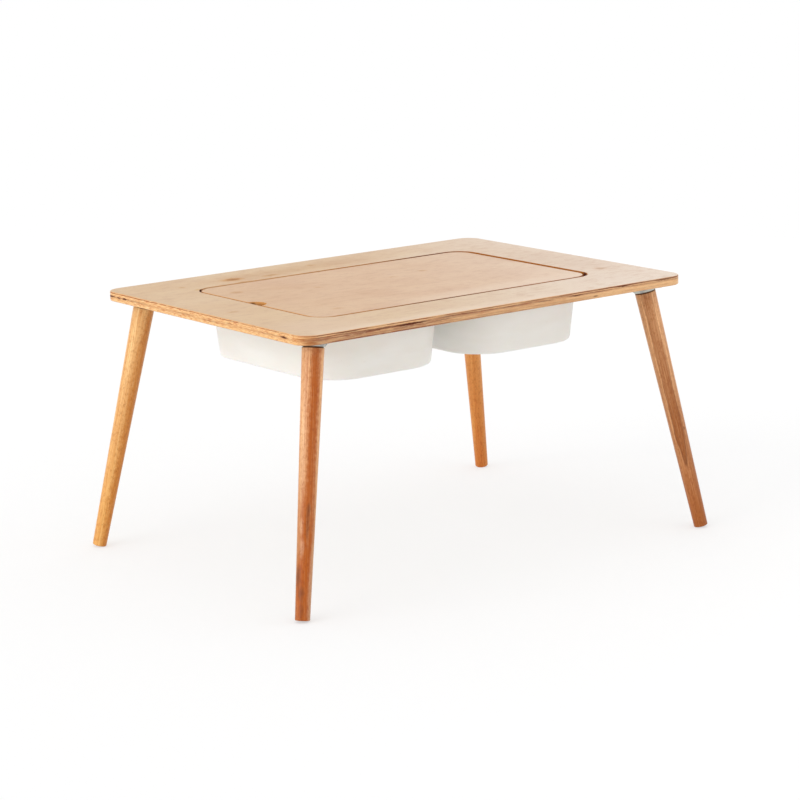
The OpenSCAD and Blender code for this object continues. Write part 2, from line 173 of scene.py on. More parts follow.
# Each leg's wood: its colours at the top, at the foot and in its dark grain, and its marks, in
# millimetres. A band has its distance down the leg, its place across the side that faces the camera,
# from -1 to 1, its half length, its half width, its strength and its tone. A flame has the same two
# places for its tip, then the length of its point, its half width and its strength.
LEG_WOODS = {
    # On the front left leg the pale bands are painted highlights: a streak down its left side and a strip
    # near the foot at its right edge
    "front_left": {
        "seed": 2.0, "top": srgb(252, 200, 146), "foot": srgb(172, 102, 36), "dark": srgb(176, 86, 4),
        "bands": [(120, -0.6, 170, 4, 0.25, "pale"), (200, 0.3, 420, 8, 0.95, "dark"),
                  (330, -0.15, 80, 8, 0.8, "dark"), (60, 0.25, 110, 8, 0.7, "dark"),
                  (170, -0.3, 120, 5, 0.15, "dark"), (375, -0.5, 60, 9, 1.0, "dark"),
                  (420, -0.2, 50, 10, 0.8, "dark"), (250, -0.4, 50, 6, 0.6, "dark"),
                  (380, 0.85, 80, 6, 0.35, "pale"), (346, -0.7, 16, 5, 0.8, "brown"),
                  (372, -0.3, 13, 5, 0.7, "brown"), (400, -0.2, 15, 4, 0.6, "brown"),
                  (425, 0.0, 13, 4, 0.7, "brown"), (240, 0.2, 9, 3, 0.6, "brown"),
                  (262, 0.15, 26, 3, 0.5, "brown"), (268, -0.5, 12, 3.5, 0.25, "pale"),
                  (301, -0.4, 14, 4, 0.25, "pale")],
        "flames": []},
    "front_right": {
        "seed": 5.0, "top": srgb(241, 185, 132), "foot": srgb(166, 92, 34), "dark": srgb(154, 84, 26),
        "bands": [(230, 0.75, 130, 9, 0.4, "dark"), (120, -0.85, 150, 6, 0.4, "dark"),
                  (236, 0.73, 3, 1.6, 1.0, "brown"), (413, -0.5, 6, 1.4, 0.9, "brown")],
        "flames": [(306, 0.0, 60, 8.5, 1.0)]},
    # The back left leg's long dark band down its right side is painted shade
    "back_left": {
        "seed": 8.0, "top": srgb(254, 210, 146), "foot": srgb(251, 198, 118), "dark": srgb(204, 123, 36),
        "bands": [(220, 0.8, 400, 10, 0.9, "dark"), (11, 0.36, 4, 1.8, 1.0, "brown")],
        "flames": []},
    "back_right": {
        "seed": 9.0, "top": srgb(238, 170, 98), "foot": srgb(220, 144, 66), "dark": srgb(202, 114, 42),
        "bands": [(425, -0.1, 100, 12, 1.0, "dark")],
        "flames": []}}


# ---- Steel ----

# Where painted shade and a painted brown reflection of the wood lie on the front left plate's outer side,
# and how far, in millimetres
VARNISH_RUN_PLACE = (-364, -247, 431)
VARNISH_RUN_REACH = (13, 13, 8)
VARNISH_BROWN = srgb(84, 58, 38)


# ---- Small node helpers ----


def add(tree, kind, inputs=None, **settings):
    """A new node with its settings, and its inputs set to values or linked from other sockets."""
    node = tree.nodes.new("ShaderNode" + kind)
    for name, value in settings.items():
        setattr(node, name, value)
    for name, value in (inputs or {}).items():
        if isinstance(value, bpy.types.NodeSocket):
            tree.links.new(value, node.inputs[name])
        else:
            node.inputs[name].default_value = value
    return node


def calc(tree, operation, *values, clamp=False):
    """The result of a Math node."""
    return add(tree, "Math", dict(enumerate(values)), operation=operation, use_clamp=clamp).outputs[0]


def vector_calc(tree, operation, *values):
    """The vector result of a Vector Math node."""
    return add(tree, "VectorMath", dict(enumerate(values)), operation=operation).outputs[0]


def times(tree, vector, factor):
    """A vector or a colour times a factor from another socket."""
    node = add(tree, "VectorMath", {0: vector}, operation="SCALE")
    tree.links.new(factor, node.inputs["Scale"])
    return node.outputs[0]


def split(tree, vector):
    """A vector's X, Y and Z."""
    return add(tree, "SeparateXYZ", {"Vector": vector}).outputs


def blend(tree, share, first, second, mode="MIX"):
    """A colour between two colours."""
    node = add(tree, "Mix", data_type="RGBA", blend_type=mode)
    for index, value in ((0, share), (6, first), (7, second)):
        if isinstance(value, bpy.types.NodeSocket):
            tree.links.new(value, node.inputs[index])
        else:
            node.inputs[index].default_value = value
    return node.outputs[2]


def ease(tree, value, start, end, low=0.0, high=1.0):
    """Maps value smoothly from low at start to high at end, and holds it outside."""
    inputs = {"Value": value, "From Min": start, "From Max": end, "To Min": low, "To Max": high}
    return add(tree, "MapRange", inputs, interpolation_type="SMOOTHSTEP").outputs[0]


def noise(tree, vector, scale, detail=2.0, roughness=0.5):
    """A noise value that varies about 0.5."""
    inputs = {"Vector": vector, "Scale": scale, "Detail": detail, "Roughness": roughness}
    return add(tree, "TexNoise", inputs).outputs[0]


def noise_vector(tree, vector, scale, detail):
    """A noise vector that varies about zero."""
    inputs = {"Vector": vector, "Scale": scale, "Detail": detail}
    return vector_calc(tree, "SUBTRACT", add(tree, "TexNoise", inputs).outputs["Color"], (0.5, 0.5, 0.5))


def steps(tree, share, values):
    """A value that jumps from step to step as share goes from 0 to 1."""
    node = add(tree, "ValToRGB", {"Fac": share})
    stops = node.color_ramp.elements
    node.color_ramp.interpolation = "CONSTANT"
    stops.remove(stops[1])
    for i, value in enumerate(values):
        stop = stops[0] if i == 0 else stops.new(i / len(values))
        stop.color = (value, value, value, 1)
    return node.outputs[0]


def ramp(tree, value, low, high, places_and_colors):
    """A colour that changes smoothly from place to place as value goes from low to high."""
    share = add(tree, "MapRange", {"Value": value, "From Min": low, "From Max": high}).outputs[0]
    node = add(tree, "ValToRGB", {"Fac": share})
    stops = node.color_ramp.elements
    node.color_ramp.interpolation = "EASE"
    stops.remove(stops[1])
    for i, (place, color) in enumerate(places_and_colors):
        position = (place - low) / (high - low)
        stop = stops[0] if i == 0 else stops.new(position)
        stop.position = position
        stop.color = color
    return node.outputs[0]


def new_group(name, inputs, outputs):
    """An empty node group with named sockets. Returns its tree, its inputs and its outputs."""
    tree = bpy.data.node_groups.new(name, "ShaderNodeTree")
    for socket_name, (kind, default) in inputs.items():
        socket = tree.interface.new_socket(socket_name, in_out="INPUT", socket_type="NodeSocket" + kind)
        socket.default_value = default
    for socket_name, kind in outputs.items():
        tree.interface.new_socket(socket_name, in_out="OUTPUT", socket_type="NodeSocket" + kind)
    source = tree.nodes.new("NodeGroupInput")
    sink = tree.nodes.new("NodeGroupOutput")
    return tree, source.outputs, sink.inputs


def use(tree, group, **inputs):
    """Places a group with its own values. Underscores in the names stand for spaces."""
    node = add(tree, "Group", node_tree=group)
    for name, value in inputs.items():
        socket = node.inputs[name.replace("_", " ")]
        if isinstance(value, bpy.types.NodeSocket):
            tree.links.new(value, socket)
        else:
            socket.default_value = value
    return node.outputs


# ---- Shared effects ----


def make_wood_grain():
    """Grain along X: a broad figure, fine streaks, a ripple and short flecks."""
    tree, given, result = new_group(
        "wood_grain",
        {"Vector": ("Vector", (0, 0, 0)), "Grain Length": ("Float", 0.2), "Grain Width": ("Float", 0.003),
         "Waviness": ("Float", 0.01), "Seed": ("Float", 0)},
        {"Figure": "Float", "Streaks": "Float", "Ripple": "Float", "Flecks": "Float", "Height": "Float"})
    place = vector_calc(tree, "ADD", given["Vector"], times(tree, (0.37, 0.73, 0.51), given["Seed"]))
    reach = add(tree, "CombineXYZ", {"Y": given["Waviness"], "Z": given["Waviness"]}).outputs[0]
    sway = vector_calc(tree, "MULTIPLY", noise_vector(tree, place, 5.0, 2.0), reach)
    place = vector_calc(tree, "ADD", place, sway)
    cell = add(tree, "CombineXYZ", {"X": given["Grain Length"], "Y": given["Grain Width"],
                                    "Z": given["Grain Width"]}).outputs[0]
    fine = vector_calc(tree, "DIVIDE", place, cell)
    broad = vector_calc(tree, "MULTIPLY", fine, (0.4, 0.09, 0.09))
    ripple_cell = vector_calc(tree, "DIVIDE", place, (7 * MM, 4 * MM, 4 * MM))
    fleck_cell = vector_calc(tree, "DIVIDE", place, (5 * MM, 1.1 * MM, 1.1 * MM))
    streaks = noise(tree, fine, 1.0, 4.0, 0.6)
    ripple = noise(tree, ripple_cell, 1.0, 3.0, 0.6)
    flecks = ease(tree, noise(tree, fleck_cell, 1.0, 1.0), 0.6, 0.74)
    height = calc(tree, "SUBTRACT", calc(tree, "ADD", streaks, ripple), flecks)
    tree.links.new(noise(tree, broad, 1.0, 2.0), result["Figure"])
    tree.links.new(streaks, result["Streaks"])
    tree.links.new(ripple, result["Ripple"])
    tree.links.new(flecks, result["Flecks"])
    tree.links.new(height, result["Height"])
    return tree


def make_rotary_veneer():
    """Peeled veneer: soft clouds, blotches drawn out along the grain, fine fibres and brown flecks."""
    tree, given, result = new_group(
        "rotary_veneer",
        {"Vector": ("Vector", (0, 0, 0)), "Seed": ("Float", 0)},
        {"Clouds": "Float", "Blotches": "Float", "Fibres": "Float", "Flecks": "Float", "Height": "Float"})
    place = vector_calc(tree, "ADD", given["Vector"], times(tree, (0.61, 0.29, 0.47), given["Seed"]))
    clouds = noise(tree, vector_calc(tree, "MULTIPLY", place, (9, 15, 9)), 1.0, 3.0, 0.55)
    blotches = noise(tree, vector_calc(tree, "MULTIPLY", place, (40, 85, 40)), 1.0, 3.0, 0.65)
    fibres = noise(tree, vector_calc(tree, "MULTIPLY", place, (110, 900, 900)), 1.0, 3.0, 0.6)
    fleck_cells = vector_calc(tree, "MULTIPLY", place, (190, 620, 620))
    flecks = ease(tree, noise(tree, fleck_cells, 1.0, 2.0), 0.64, 0.74)
    height = calc(tree, "SUBTRACT", fibres, calc(tree, "MULTIPLY", flecks, 0.4))
    tree.links.new(ease(tree, clouds, 0.3, 0.7), result["Clouds"])
    tree.links.new(ease(tree, blotches, 0.45, 0.75), result["Blotches"])
    tree.links.new(fibres, result["Fibres"])
    tree.links.new(flecks, result["Flecks"])
    tree.links.new(height, result["Height"])
    return tree


def make_surface_use():
    """Marks of use on any finish: patches where hands have rubbed it, and fine scuffs."""
    tree, given, result = new_group(
        "surface_use",
        {"Vector": ("Vector", (0, 0, 0)), "Patch Size": ("Float", 0.08), "Roughness": ("Float", 0.4),
         "Spread": ("Float", 0.1)},
        {"Roughness": "Float", "Patches": "Float", "Scuffs": "Float"})
    patch_scale = calc(tree, "DIVIDE", 1.0, given["Patch Size"])
    patches = noise(tree, given["Vector"], patch_scale, 3.0, 0.6)
    scratch_cell = vector_calc(tree, "DIVIDE", given["Vector"], (14 * MM, 1.1 * MM, 3 * MM))
    scuffs = ease(tree, noise(tree, scratch_cell, 1.0, 2.0), 0.68, 0.8)
    swing = calc(tree, "MULTIPLY", calc(tree, "SUBTRACT", patches, 0.5), given["Spread"])
    rough = calc(tree, "ADD", given["Roughness"], calc(tree, "MULTIPLY", swing, 2.0))
    rough = calc(tree, "ADD", rough, calc(tree, "MULTIPLY", scuffs, given["Spread"]), clamp=True)
    tree.links.new(rough, result["Roughness"])
    tree.links.new(patches, result["Patches"])
    tree.links.new(scuffs, result["Scuffs"])
    return tree


def make_ply_layers():
    """Counts the plies of a sheet downwards from its face, a little unevenly."""
    tree, given, result = new_group(
        "ply_layers",
        {"Vector": ("Vector", (0, 0, 0)), "Face Height": ("Float", 0.45),
         "Ply Thickness": ("Float", 0.0016), "Face Ply": ("Float", 0.0008)},
        {"Layer": "Float", "Depth": "Float"})
    depth = calc(tree, "SUBTRACT", given["Face Height"], split(tree, given["Vector"])["Z"])
    drift = calc(tree, "SUBTRACT", noise(tree, given["Vector"], 20.0, 2.0), 0.5)
    uneven = calc(tree, "ADD", depth, calc(tree, "MULTIPLY", drift, 0.6 * MM))
    below = calc(tree, "SUBTRACT", uneven, given["Face Ply"])
    layer = calc(tree, "ADD", calc(tree, "DIVIDE", below, given["Ply Thickness"]), 1.0)
    tree.links.new(calc(tree, "MAXIMUM", layer, 0.5), result["Layer"])
    tree.links.new(depth, result["Depth"])
    return tree


def make_ply_edge(grain):
    """The cut edge of plywood: plies that show light or dark, broken up along their length."""
    tree, given, result = new_group(
        "ply_edge",
        {"Vector": ("Vector", (0, 0, 0)), "Layer": ("Float", 0), "Stain": ("Float", 0.5),
         "Mottling": ("Float", 1), "Light Wood": ("Color", (1, 1, 1, 1)),
         "Dark Wood": ("Color", (0, 0, 0, 1))},
        {"Color": "Color", "Height": "Float"})
    where = given["Vector"]
    place = split(tree, where)
    ply = calc(tree, "FLOOR", given["Layer"])
    stretch = add(tree, "CombineXYZ", {"X": calc(tree, "MULTIPLY", place["X"], 14.0),
                                       "Y": calc(tree, "MULTIPLY", place["Y"], 14.0),
                                       "Z": calc(tree, "MULTIPLY", ply, 3.7)})
    changes = ease(tree, noise(tree, stretch.outputs[0], 1.0, 5.0, 0.6), 0.36, 0.56, 0.5, 1.2)
    dark = calc(tree, "MULTIPLY", given["Stain"], changes, clamp=True)
    color = blend(tree, dark, given["Light Wood"], given["Dark Wood"])

    dashes = noise(tree, vector_calc(tree, "MULTIPLY", where, (80, 80, 780)), 1.0, 3.0, 0.65)
    brown = calc(tree, "MULTIPLY", ease(tree, dashes, 0.52, 0.36, 0.0, 0.75), given["Mottling"])
    color = blend(tree, brown, color, BROWN_DASH)
    pale = calc(tree, "MULTIPLY", ease(tree, dashes, 0.54, 0.68, 0.0, 0.7), given["Mottling"])
    color = blend(tree, pale, color, PALE_DASH)

    pores = noise(tree, vector_calc(tree, "MULTIPLY", where, (900, 900, 2400)), 1.0, 2.0)
    streaks = use(tree, grain, Vector=where, Grain_Length=0.02, Grain_Width=0.0005, Waviness=0.001)
    seam = calc(tree, "ABSOLUTE", calc(tree, "SUBTRACT", calc(tree, "FRACT", given["Layer"]), 0.5))
    tone = ease(tree, streaks["Streaks"], 0.3, 0.7, 0.9, 1.04)
    tone = calc(tree, "MULTIPLY", tone, ease(tree, pores, 0.3, 0.7, 0.93, 1.04))
    tone = calc(tree, "MULTIPLY", tone, ease(tree, seam, 0.42, 0.5, 1.0, 0.8))
    tree.links.new(times(tree, color, tone), result["Color"])
    tree.links.new(calc(tree, "MULTIPLY", pores, 0.3), result["Height"])
    return tree


def make_ragged_spot():
    """A small spot with ragged edges and a soft halo: a pin knot, or the painted shade of a gap in a
    plywood core.
    """
    tree, given, result = new_group(
        "ragged_spot",
        {"Vector": ("Vector", (0, 0, 0)), "Centre": ("Vector", (0, 0, 0)),
         "Reach": ("Vector", (0.01, 0.01, 0.01)), "Raggedness": ("Float", 0.008)},
        {"Core": "Float", "Halo": "Float"})
    ragged = times(tree, noise_vector(tree, given["Vector"], 150.0, 3.0), given["Raggedness"])
    place = vector_calc(tree, "ADD", given["Vector"], ragged)
    offset = vector_calc(tree, "SUBTRACT", place, given["Centre"])
    offset = vector_calc(tree, "DIVIDE", offset, given["Reach"])
    away = add(tree, "VectorMath", {0: offset}, operation="LENGTH").outputs["Value"]
    tree.links.new(ease(tree, away, 0.3, 0.9, 1.0, 0.0), result["Core"])
    tree.links.new(ease(tree, away, 0.4, 1.5, 1.0, 0.0), result["Halo"])
    return tree


def make_flame():
    """A flame in flat-sawn wood: a long arch of darker rings that ends in a point, its grain along X."""
    tree, given, result = new_group(
        "flame",
        {"Vector": ("Vector", (0, 0, 0)), "Tip": ("Vector", (0, 0, 0)), "Across": ("Vector", (0, 1, 0)),
         "Point Length": ("Float", 0.06)},
        {"Inside": "Float", "Outline": "Float", "Rings": "Float"})
    offset = vector_calc(tree, "SUBTRACT", given["Vector"], given["Tip"])
    along = calc(tree, "DIVIDE", split(tree, offset)["X"], given["Point Length"])
    sideways = add(tree, "VectorMath", {0: offset, 1: given["Across"]}, operation="DOT_PRODUCT")
    stretched = vector_calc(tree, "MULTIPLY", given["Vector"], (18, 60, 60))
    sway = calc(tree, "SUBTRACT", noise(tree, stretched, 1.0), 0.5)
    across = calc(tree, "ADD", sideways.outputs["Value"], calc(tree, "MULTIPLY", sway, 0.9))
    rise = calc(tree, "MINIMUM", along, 1.0)
    depth = calc(tree, "SUBTRACT", rise, calc(tree, "MULTIPLY", across, across))
    from_outline = calc(tree, "ABSOLUTE", calc(tree, "SUBTRACT", depth, 0.12))
    in_ring = calc(tree, "FRACT", calc(tree, "MULTIPLY", depth, 5.0))
    from_ring = calc(tree, "ABSOLUTE", calc(tree, "SUBTRACT", in_ring, 0.5))
    rings = calc(tree, "MULTIPLY", ease(tree, from_ring, 0.3, 0.0), ease(tree, depth, 0.1, 0.3))
    tree.links.new(ease(tree, depth, -0.05, 0.3), result["Inside"])
    tree.links.new(ease(tree, from_outline, 0.25, 0.0), result["Outline"])
    tree.links.new(rings, result["Rings"])
    return tree


WOOD_GRAIN = make_wood_grain()
VENEER = make_rotary_veneer()
SURFACE_USE = make_surface_use()
PLY_LAYERS = make_ply_layers()
PLY_EDGE = make_ply_edge(WOOD_GRAIN)
SPOT = make_ragged_spot()
FLAME = make_flame()


# ---- Materials ----


def new_material(name, **values):
    """A material with one Principled shader, whose plain values are set on its own sockets."""
    material = bpy.data.materials.new(name)
    material.use_nodes = True
    tree = material.node_tree
    shader = tree.nodes["Principled BSDF"]
    for socket_name, value in values.items():
        shader.inputs[socket_name.replace("_", " ")].default_value = value
    place = add(tree, "TexCoord").outputs
    return material, tree, shader, place


def finish_with(tree, shader, color, roughness, height, bump_depth, bump_strength):
    """Links a material's colour, roughness and bump."""
    tree.links.new(color, shader.inputs["Base Color"])
    tree.links.new(roughness, shader.inputs["Roughness"])
    bump = add(tree, "Bump", {"Height": height, "Distance": bump_depth, "Strength": bump_strength})
    tree.links.new(bump.outputs[0], shader.inputs["Normal"])


def spot(tree, where, centre, reach, raggedness):
    """Places a ragged spot; its centre, reach and raggedness are in millimetres."""
    centre, reach = Vector(centre) * MM, Vector(reach) * MM
    return use(tree, SPOT, Vector=where, Centre=centre, Reach=reach, Raggedness=raggedness * MM)


def veneer_face(tree, where, sheet, low, high):
    """The face of a rotary-cut veneer, with a painted sheen that pales it towards the right, and its knots,
    which take varnish badly.

    Returns its colour, its height and how dull it is.
    """
    light, dark, blotch = sheet["veneer"]
    axes = split(tree, where)
    veneer = use(tree, VENEER, Vector=where, Seed=sheet["seed"])
    color = blend(tree, veneer["Clouds"], light, dark)
    # Painted sheen, paler towards the right
    rightward = calc(tree, "SUBTRACT", axes["X"], calc(tree, "MULTIPLY", axes["Y"], 0.5))
    color = blend(tree, ease(tree, rightward, -0.12, 0.5, 0.0, sheet["painted_sheen"]), color, PALE_VENEER)
    near_left = ease(tree, axes["X"], -0.1, -0.4, 0.0, 0.5)
    off_front = ease(tree, axes["Y"], -0.26, -0.12)
    color = blend(tree, calc(tree, "MULTIPLY", near_left, off_front), color, GOLDEN_VENEER)
    color = blend(tree, calc(tree, "MULTIPLY", veneer["Blotches"], 0.45), color, blotch)
    color = blend(tree, ease(tree, veneer["Fibres"], 0.35, 0.7, 0.0, 0.16), color, blotch)
    color = blend(tree, calc(tree, "MULTIPLY", veneer["Flecks"], 0.4), color, VENEER_FLECK)
    for x, y, length, width, strength in sheet["pale_patches"]:
        patch = spot(tree, where, (x, y, high.z / MM), (length, width, length), width * 0.5)
        color = blend(tree, calc(tree, "MULTIPLY", patch["Halo"], strength), color, PALE_PATCH)
    dull = 0.0
    for x, y, length, width, strength in sheet["knots"]:
        knot = spot(tree, where, (x, y, high.z / MM), (length, width, length), min(width * 1.3, 20))
        dull = calc(tree, "ADD", dull, calc(tree, "MULTIPLY", knot["Halo"], strength))
        color = blend(tree, calc(tree, "MULTIPLY", knot["Halo"], 0.7 * strength), color, KNOT_HALO)
        color = blend(tree, calc(tree, "MULTIPLY", knot["Core"], 0.7 * strength), color, KNOT_CORE)
    rim = ease(tree, axes["X"], low.x + 3.4 * MM, low.x + 1.6 * MM, 0.0, sheet["rim_scorch"])
    return blend(tree, rim, color, SINGED_RIM), veneer["Height"], dull


def stain_along(tree, where, layer, facing_end, stains):
    """How dark a ply shows: the long edges change from left to right, and the ends are paler."""
    x = split(tree, where)["X"]
    share = calc(tree, "DIVIDE", layer, float(len(stains["ends"])))
    masks = {"middle": ease(tree, x, -0.18, -0.08),
             "right part": ease(tree, x, 0.06, 0.26),
             "ends": facing_end}
    stain = steps(tree, share, stains["left part"])
    for part, mask in masks.items():
        stain = add(tree, "Mix", {0: mask, 2: stain, 3: steps(tree, share, stains[part])}).outputs[0]
    return stain


def inside_recess(tree, where):
    """1 in the lid's recess and on the lid, and 0 at the outer edges."""
    share = vector_calc(tree, "ABSOLUTE", where)
    share = split(tree, vector_calc(tree, "MULTIPLY", share, (1 / RECESS_HALF_L, 1 / RECESS_HALF_D, 0)))
    return calc(tree, "LESS_THAN", calc(tree, "MAXIMUM", share["X"], share["Y"]), 1.0)


def singed_walls(tree, where, facing_end):
    """The walls that the cutter left round the lid, singed and with painted shade of the gap: pale at the
    back left, darker towards the right.
    """
    place = split(tree, where)
    along = calc(tree, "SUBTRACT", place["X"], calc(tree, "MULTIPLY", place["Y"], 0.7))
    long_wall = ramp(tree, along, -0.4, 0.4, LONG_WALL)
    end_wall = ramp(tree, place["X"], -0.3, 0.3, END_WALL)
    return blend(tree, facing_end, long_wall, end_wall)


def milled_ply(tree, where, seed):
    """The inner ply that the cutter laid bare on the ledge."""
    light, dark, streaky = LEDGE_WOOD
    grain = use(tree, WOOD_GRAIN, Vector=where, Seed=seed, Grain_Length=0.09, Grain_Width=0.0016,
                Waviness=0.005)
    color = blend(tree, ease(tree, grain["Figure"], 0.3, 0.7), light, dark)
    return blend(tree, ease(tree, grain["Streaks"], 0.45, 0.7, 0.0, 0.6), color, streaky)


def gaps_of(sheet, low):
    """All gaps of a sheet that get painted shade, those along its front and left edges placed on the edge.
    """
    front = [(x, low.y / MM, depth, (length, MARK_REACH, height), strength)
             for x, depth, length, height, strength in sheet["front_gaps"]]
    left = [(low.x / MM, y, depth, (MARK_REACH, length, height), strength)
            for y, depth, length, height, strength in sheet["left_gaps"]]
    return front + left + sheet["gaps"]


def cut_edge(tree, where, sheet, low, high, layer, facing_end, flat, inside):
    """A sheet's cut edges: its plies, the singed walls round the lid with painted shade of their gap, the
    ledge round the lid, and their marks, with painted shade in gaps.

    Returns their colour, their height and how dull they are.
    """
    face_height = high.z / MM
    light, dark = (blend(tree, facing_end, *tones) for tones in zip(LONG_EDGE_WOOD, SHORT_EDGE_WOOD))
    edge = use(tree, PLY_EDGE, Vector=where, Layer=layer, Light_Wood=light, Dark_Wood=dark,
               Stain=stain_along(tree, where, layer, facing_end, sheet["stains"]),
               Mottling=calc(tree, "MULTIPLY_ADD", facing_end, 0.7, 0.3))
    # The walls round the lid carry painted shade of the gap
    walls = singed_walls(tree, where, facing_end)
    color = blend(tree, calc(tree, "MULTIPLY", inside, 0.95), edge["Color"], walls)
    on_ledge = calc(tree, "MULTIPLY", inside, ease(tree, flat, 0.95, 0.995))
    color = blend(tree, on_ledge, color, milled_ply(tree, where, sheet["seed"] + 6))
    notch = spot(tree, where, (*NOTCH_PLACE, face_height), NOTCH_REACH, 1)
    color = blend(tree, calc(tree, "MULTIPLY", notch["Halo"], 0.8), color, NOTCH_WOOD)
    dull = 0.0
    # The gaps get painted shade; the corner marks are multiplied in
    kinds = ((sheet["scorches"], CORNER_SCORCH, "MULTIPLY"), (gaps_of(sheet, low), CORE_GAP, "MIX"))
    for marks, tone, mode in kinds:
        for x, y, depth, reach, strength in marks:
            mark = spot(tree, where, (x, y, face_height - depth), reach, 2.5)
            shown = calc(tree, "MULTIPLY", mark["Halo"], strength)
            color = blend(tree, shown, color, tone, mode)
            dull = calc(tree, "ADD", dull, shown)
    return color, edge["Height"], dull


def plywood(node):
    """Varnished plywood: a rotary-cut face veneer, and cut edges that show the plies."""
    sheet = SHEETS[node]
    low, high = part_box(node)
    material, tree, shader, place = new_material(sheet["material"], Specular_IOR_Level=0.5)
    where = place["Object"]
    normal = split(tree, place["Normal"])
    facing_end = calc(tree, "MULTIPLY", normal["X"], normal["X"])
    flat = calc(tree, "ABSOLUTE", normal["Z"])
    inside = inside_recess(tree, where)
    plies = use(tree, PLY_LAYERS, Vector=where, Face_Height=high.z, Ply_Thickness=sheet["ply_t"],
                Face_Ply=FACE_PLY_T)
    veneer, veneer_height, veneer_dull = veneer_face(tree, where, sheet, low, high)
    edge, edge_height, edge_dull = cut_edge(
        tree, where, sheet, low, high, plies["Layer"], facing_end, flat, inside)

    # The veneer shows on the outer edges' easing, but only on the flat face round the lid
    up = ease(tree, flat, calc(tree, "MULTIPLY_ADD", inside, 0.2, 0.75),
              calc(tree, "MULTIPLY_ADD", inside, 0.045, 0.95))
    from_back = calc(tree, "SUBTRACT", high.z - low.z, plies["Depth"])
    from_face = calc(tree, "MINIMUM", plies["Depth"], from_back)
    face = calc(tree, "MULTIPLY", up, ease(tree, from_face, 0.3 * MM, 1.2 * MM, 1.0, 0.0))

    color = blend(tree, face, edge, veneer)
    wear = use(tree, SURFACE_USE, Vector=where, Patch_Size=0.14, Roughness=0.4, Spread=0.06)
    dull = calc(tree, "ADD", veneer_dull, edge_dull)
    rough = calc(tree, "MULTIPLY_ADD", dull, 0.5, wear["Roughness"], clamp=True)
    height = add(tree, "Mix", {0: face, 2: edge_height, 3: veneer_height}).outputs[0]
    finish_with(tree, shader, color, rough, height, 0.1 * MM, 0.4)
    return material


def leg_axis(corner):
    """The direction up a leg's axis: it leans in from the corner that its foot points to."""
    top_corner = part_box("table_top")[1]
    side_x = 1 if "right" in corner else -1
    side_y = 1 if "back" in corner else -1
    outward = Vector((side_x * top_corner.x, side_y * top_corner.y, 0)).normalized()
    return Vector((0, 0, math.cos(LEG_TILT))) - outward * math.sin(LEG_TILT)


def leg_wood(corner):
    """Turned hardwood with a satin varnish, its grain along the leg's own axis and deeper at the foot."""
    wood = LEG_WOODS[corner]
    # The pale tone paints highlights
    tones = {"dark": wood["dark"], "brown": BROWN_MARK, "pale": PALE_MARK}
    axis = leg_axis(corner)
    turn = axis.to_track_quat("X", "Z")
    bolt_low, bolt_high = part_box(corner + "_hanger_bolt")
    middle = (bolt_low + bolt_high) / 2
    right = Vector((math.cos(CAMERA_YAW), math.sin(CAMERA_YAW), 0))
    towards_camera = Vector((math.sin(CAMERA_YAW), -math.cos(CAMERA_YAW), 0))

    def on_leg(down, across):
        outside = right * across + towards_camera * math.sqrt(1 - across * across)
        return turn.inverted() @ (outside * LEG_MARK_RADIUS - axis * down * MM)

    material, tree, shader, place = new_material(
        corner + "_leg_wood", Coat_Weight=0.22, Coat_Roughness=0.36, Specular_IOR_Level=0.2)
    placed = {"Vector": place["Object"], "Location": middle, "Rotation": turn.to_euler()}
    along = add(tree, "Mapping", placed, vector_type="TEXTURE").outputs[0]
    height = split(tree, along)["X"]
    grain = use(tree, WOOD_GRAIN, Vector=along, Seed=wood["seed"], Grain_Length=0.12, Grain_Width=0.0016,
                Waviness=0.01)
    broad = use(tree, WOOD_GRAIN, Vector=along, Seed=wood["seed"] + 3, Grain_Length=0.45, Grain_Width=0.016,
                Waviness=0.02)
    color = blend(tree, ease(tree, height, -0.08, -0.42), wood["top"], wood["foot"])
    color = blend(tree, ease(tree, broad["Streaks"], 0.4, 0.62, 0.0, 0.45), color, wood["dark"])

    for down, across, half_length, half_width, strength, tone in wood["bands"]:
        band = use(tree, SPOT, Vector=along, Centre=on_leg(down, across), Raggedness=half_width * MM * 0.9,
                   Reach=Vector((half_length, half_width, half_width)) * MM)
        color = blend(tree, calc(tree, "MULTIPLY", band["Halo"], strength), color, tones[tone])
    for down, across, point, half_width, strength in wood["flames"]:
        sideways = turn.inverted() @ right.cross(Vector((0, 0, 1))).cross(axis)
        flame = use(tree, FLAME, Vector=along, Tip=on_leg(down, across), Point_Length=point * MM,
                    Across=sideways.normalized() / (half_width * MM))
        fading = ease(tree, height, 0.0, -0.27, 0.45 * strength, strength)
        parts = (("Inside", 0.9, "dark"), ("Rings", 0.35, "brown"), ("Outline", 0.6, "brown"))
        for part, most, tone in parts:
            share = calc(tree, "MULTIPLY", calc(tree, "MULTIPLY", flame[part], most), fading)
            color = blend(tree, share, color, tones[tone])

    color = blend(tree, ease(tree, grain["Streaks"], 0.42, 0.68, 0.0, 0.5), color, wood["dark"])
    color = blend(tree, ease(tree, grain["Streaks"], 0.5, 0.3, 0.0, 0.2), color, wood["top"])
    color = blend(tree, ease(tree, grain["Ripple"], 0.48, 0.66, 0.0, 0.6), color, LEG_RIPPLE, "MULTIPLY")
    color = blend(tree, calc(tree, "MULTIPLY", grain["Flecks"], 0.4), color, LEG_FLECK)
    # A ring of painted shade at the leg's top, just under the plate
    leg_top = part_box(corner + "_leg")[1].z - LEG_TOP_RADIUS * math.sin(LEG_TILT)
    rim = (leg_top - middle.z) / math.cos(LEG_TILT)
    color = blend(tree, ease(tree, height, rim - 2.4 * MM, rim - 1 * MM, 0.0, 0.8), color, SCORCHED_RIM)
    wear = use(tree, SURFACE_USE, Vector=along, Patch_Size=0.05, Roughness=0.4, Spread=0.06)
    finish_with(tree, shader, color, wear["Roughness"], grain["Height"], 0.15 * MM, 0.5)
    return material


